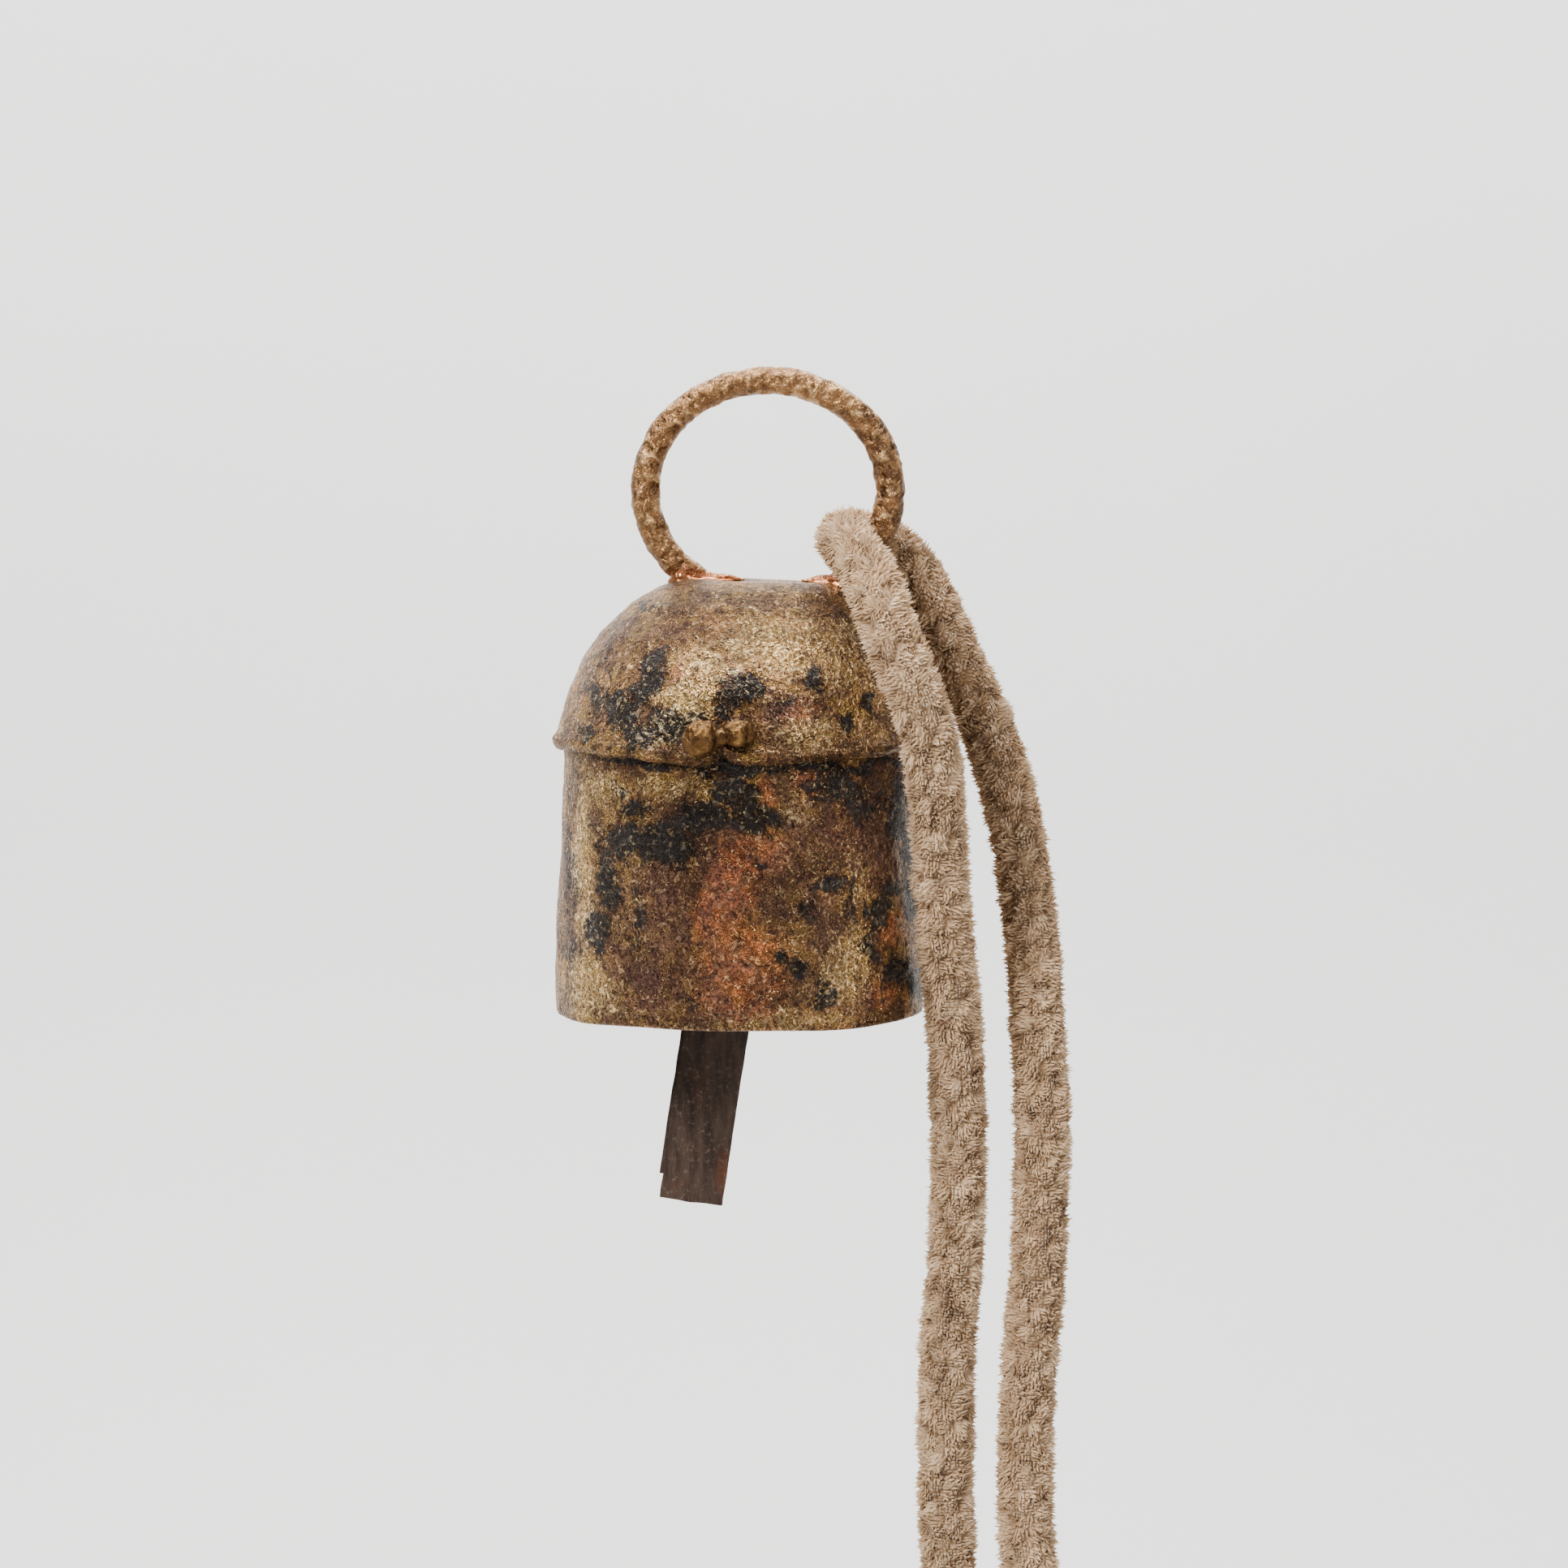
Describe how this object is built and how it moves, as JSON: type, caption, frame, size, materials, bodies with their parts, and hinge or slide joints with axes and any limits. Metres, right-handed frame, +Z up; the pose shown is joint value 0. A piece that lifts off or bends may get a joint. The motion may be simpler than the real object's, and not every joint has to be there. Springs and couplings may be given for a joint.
{
  "type": "christmas bell ornament",
  "caption": "Small handmade sheet-metal bell with a domed crown, a wire hanging ring, a loose folded clapper and a soft looped cord.",
  "frame": {"origin": "the point under the top of the hanging ring, where a hook takes the weight", "axes": "+Z up along the bell, the ring lies in the XZ plane, -Y towards the front with the rim stitch"},
  "size_m": [0.0449, 0.0345, 0.1445],
  "materials": {
    "skirt": "hammered, brass and copper coat fired to brown, orange and black patches",
    "crown": "hammered, brass coat with dark fired patches",
    "hanging_ring": "hammered bronze-brown wire",
    "braze": "bright copper-coloured braze",
    "rim_stitch": "brass-coated wire, hammered ends",
    "inner_wire": "dull brown wire",
    "clapper": "dark brown oxidised strip",
    "cord": "taupe chenille pile"
  },
  "bodies": {
    "bell": {"skirt": "skirt", "crown": "crown", "hanging_ring": "hanging_ring", "left_braze": "braze", "right_braze": "braze", "rim_stitch": "rim_stitch", "clapper_staple": "inner_wire", "cord": "cord", "cord_knot": "cord", "left_tail": "cord", "right_tail": "cord"},
    "link": {"clapper_link": "inner_wire"},
    "clapper": {"clapper": "clapper"}
  },
  "joints": [
    {"name": "clapper_side_swing", "type": "hinge", "parent": "bell", "child": "link", "pos_m": [0.0005, 0, -0.0206], "axis": [0, 1, 0], "range_deg": [-17, 11]},
    {"name": "clapper_front_swing", "type": "hinge", "parent": "link", "child": "clapper", "pos_m": [0.00002, 0, -0.02402], "axis": [0.9903, 0, -0.1392], "range_deg": [-15, 15]}
  ]
}
